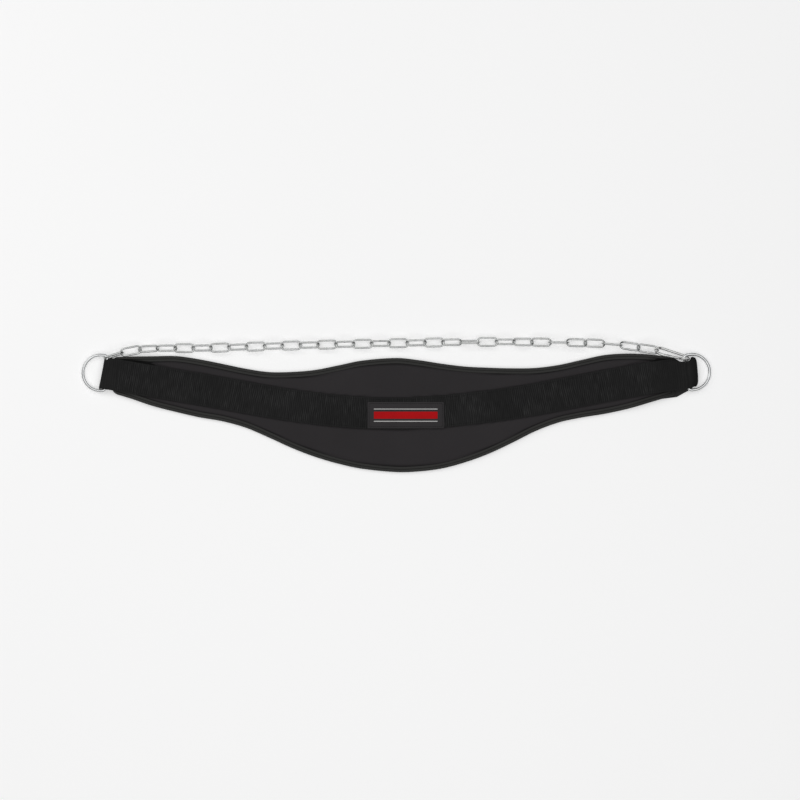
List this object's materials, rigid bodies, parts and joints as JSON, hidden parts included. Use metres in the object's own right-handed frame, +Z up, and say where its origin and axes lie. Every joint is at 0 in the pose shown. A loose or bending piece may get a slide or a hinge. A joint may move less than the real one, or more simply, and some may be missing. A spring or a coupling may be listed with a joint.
{
  "type": "dip belt",
  "caption": "Weight lifting dip belt laid flat: shaped padded back panel, sewn webbing strap, D-ring at each end and a steel chain closed by a snap hook.",
  "frame": {"origin": "centre of the bounding box's bottom face, on the surface the belt lies on", "axes": "+X along the belt from the left ring to the right one, +Y across it towards the chain, +Z up from the surface, with the strap and label on the upper side"},
  "size_m": [0.9704, 0.2084, 0.0249],
  "materials": {
    "pad_cloth": "dull woven",
    "edge_tape": "dull ribbed tape",
    "webbing": "dull cross-ribbed webbing",
    "label_cloth": "smooth woven label",
    "ring_steel": "zinc plated, satin",
    "hook_steel": "zinc plated, satin",
    "chain_zinc": "zinc plated, bright"
  },
  "bodies": {
    "belt": {"back_pad": "pad_cloth", "edge_binding": "edge_tape", "strap": "webbing", "label": "label_cloth", "d_ring_left": "ring_steel", "d_ring_right": "ring_steel", "hook_body": "hook_steel", "hook_rivet": "hook_steel", "link_01": "chain_zinc", "link_02": "chain_zinc", "link_03": "chain_zinc", "link_04": "chain_zinc", "link_05": "chain_zinc", "link_06": "chain_zinc", "link_07": "chain_zinc", "link_08": "chain_zinc", "link_09": "chain_zinc", "link_10": "chain_zinc", "link_11": "chain_zinc", "link_12": "chain_zinc", "link_13": "chain_zinc", "link_14": "chain_zinc", "link_15": "chain_zinc", "link_16": "chain_zinc", "link_17": "chain_zinc", "link_18": "chain_zinc", "link_19": "chain_zinc", "link_20": "chain_zinc", "link_21": "chain_zinc", "link_22": "chain_zinc", "link_23": "chain_zinc", "link_24": "chain_zinc", "link_25": "chain_zinc", "link_26": "chain_zinc", "link_27": "chain_zinc", "link_28": "chain_zinc", "link_29": "chain_zinc", "link_30": "chain_zinc", "link_31": "chain_zinc"},
    "gate": {"hook_gate": "hook_steel"}
  },
  "joints": [
    {"name": "gate_hinge", "type": "hinge", "parent": "belt", "child": "gate", "pos_m": [0.43832, 0.07083, 0.01503], "axis": [-0.2793, -0.8561, -0.4348], "range_deg": [0, 28], "stiffness_Nm_per_rad": 0.02, "springref_deg": -17.19}
  ]
}
